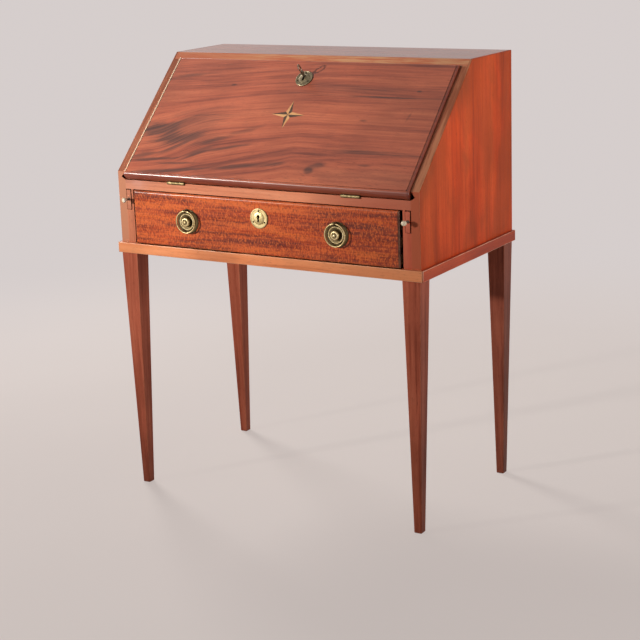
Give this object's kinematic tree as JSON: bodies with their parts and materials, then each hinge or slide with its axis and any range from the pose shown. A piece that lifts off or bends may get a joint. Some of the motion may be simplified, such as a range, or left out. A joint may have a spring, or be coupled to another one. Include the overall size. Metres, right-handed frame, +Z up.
{
  "type": "slant-front writing desk",
  "caption": "Slant-front mahogany writing desk on slender tapered legs, with a drop-down fall, pull-out supports, a long drawer with ring pulls and an inner gallery.",
  "frame": {"origin": "on the floor, under the middle of the whole desk's box", "axes": "+Z up, +X to the right as seen from the front, the front faces -Y"},
  "size_m": [0.763, 0.455, 0.96],
  "materials": {
    "mahogany": "french polish, semi-gloss, figured grain",
    "drawer_mahogany": "french polish, fiddleback figure",
    "inner_wood": "plain secondary wood, waxed",
    "light_inlay": "flush inlay, polished with the fall",
    "dark_inlay": "flush inlay, polished with the fall",
    "brass": "aged, worn bright on the edges",
    "iron": "dark, handled",
    "bone": "polished bone"
  },
  "bodies": {
    "case": {"left_side_panel": "mahogany", "right_side_panel": "mahogany", "top_board": "mahogany", "closing_rail": "mahogany", "back_boards": "inner_wood", "bottom_board": "inner_wood", "waist_moulding_front": "mahogany", "waist_moulding_left": "mahogany", "waist_moulding_right": "mahogany", "front_rail": "mahogany", "writing_bed": "inner_wood", "left_front_stile": "mahogany", "right_front_stile": "mahogany", "left_loper_guide": "inner_wood", "right_loper_guide": "inner_wood", "loper_bearers": "inner_wood", "drawer_stops": "inner_wood", "front_left_leg": "mahogany", "front_right_leg": "mahogany", "back_left_leg": "mahogany", "back_right_leg": "mahogany", "gallery_shelf": "mahogany", "gallery_partitions": "mahogany", "rail_hinge_leaves": "brass", "hinge_pins": "brass", "rail_hinge_screws": "brass", "fall_strike_plate": "brass", "back_board_screws": "iron"},
    "fall": {"fall_board": "mahogany", "star_inlay_light": "light_inlay", "star_inlay_dark": "dark_inlay", "fall_escutcheon": "brass", "fall_escutcheon_pins": "iron", "fall_lock_case": "brass", "fall_hinge_leaves": "brass", "fall_hinge_screws": "brass"},
    "fall_key": {"fall_key": "iron"},
    "fall_bolt": {"fall_lock_bolt": "iron"},
    "drawer": {"drawer_front": "drawer_mahogany", "drawer_left_side": "inner_wood", "drawer_right_side": "inner_wood", "drawer_back": "inner_wood", "drawer_bottom": "inner_wood", "drawer_escutcheon": "brass", "drawer_escutcheon_pins": "iron", "drawer_lock_case": "brass", "left_pull_plate": "brass", "right_pull_plate": "brass", "pull_nuts": "brass"},
    "drawer_bolt": {"drawer_lock_bolt": "iron"},
    "left_ring": {"left_pull_ring": "brass"},
    "right_ring": {"right_pull_ring": "brass"},
    "left_loper": {"left_loper": "mahogany", "left_loper_knob": "bone"},
    "right_loper": {"right_loper": "mahogany", "right_loper_knob": "bone"},
    "left_small_drawer": {"left_small_drawer": "mahogany", "left_small_drawer_knob": "bone"},
    "right_small_drawer": {"right_small_drawer": "mahogany", "right_small_drawer_knob": "bone"}
  },
  "joints": [
    {"name": "fall_hinge", "type": "hinge", "parent": "case", "child": "fall", "pos_m": [0, -0.207, 0.706], "axis": [1, 0, 0], "range_deg": [0, 136.63]},
    {"name": "fall_key_turn", "type": "hinge", "parent": "fall", "child": "fall_key", "pos_m": [0, -0.00213, 0.90497], "axis": [0, -0.6967, 0.7174], "range_deg": [0, 150]},
    {"name": "fall_bolt_slide", "type": "slide", "parent": "fall", "child": "fall_bolt", "axis": [0, 0.7174, 0.6967], "range_m": [0, 0.009]},
    {"name": "drawer_slide", "type": "slide", "parent": "case", "child": "drawer", "axis": [0, -1, 0], "range_m": [0, 0.25]},
    {"name": "drawer_bolt_slide", "type": "slide", "parent": "drawer", "child": "drawer_bolt", "axis": [0, 0, -1], "range_m": [-0.009, 0]},
    {"name": "left_loper_slide", "type": "slide", "parent": "case", "child": "left_loper", "axis": [0, -1, 0], "range_m": [0, 0.25]},
    {"name": "right_loper_slide", "type": "slide", "parent": "case", "child": "right_loper", "axis": [0, -1, 0], "range_m": [0, 0.25]},
    {"name": "left_small_drawer_slide", "type": "slide", "parent": "case", "child": "left_small_drawer", "axis": [0, -1, 0], "range_m": [0, 0.105]},
    {"name": "right_small_drawer_slide", "type": "slide", "parent": "case", "child": "right_small_drawer", "axis": [0, -1, 0], "range_m": [0, 0.105]},
    {"name": "left_ring_swing", "type": "hinge", "parent": "drawer", "child": "left_ring", "pos_m": [-0.186, -0.2225, 0.64942], "axis": [-1, 0, 0], "range_deg": [0, 100]},
    {"name": "right_ring_swing", "type": "hinge", "parent": "drawer", "child": "right_ring", "pos_m": [0.186, -0.2225, 0.64942], "axis": [-1, 0, 0], "range_deg": [0, 100]}
  ],
  "couplings": [
    {"joint": "fall_key_turn", "follows": "fall_bolt_slide", "rad_per_m": 290.89}
  ]
}
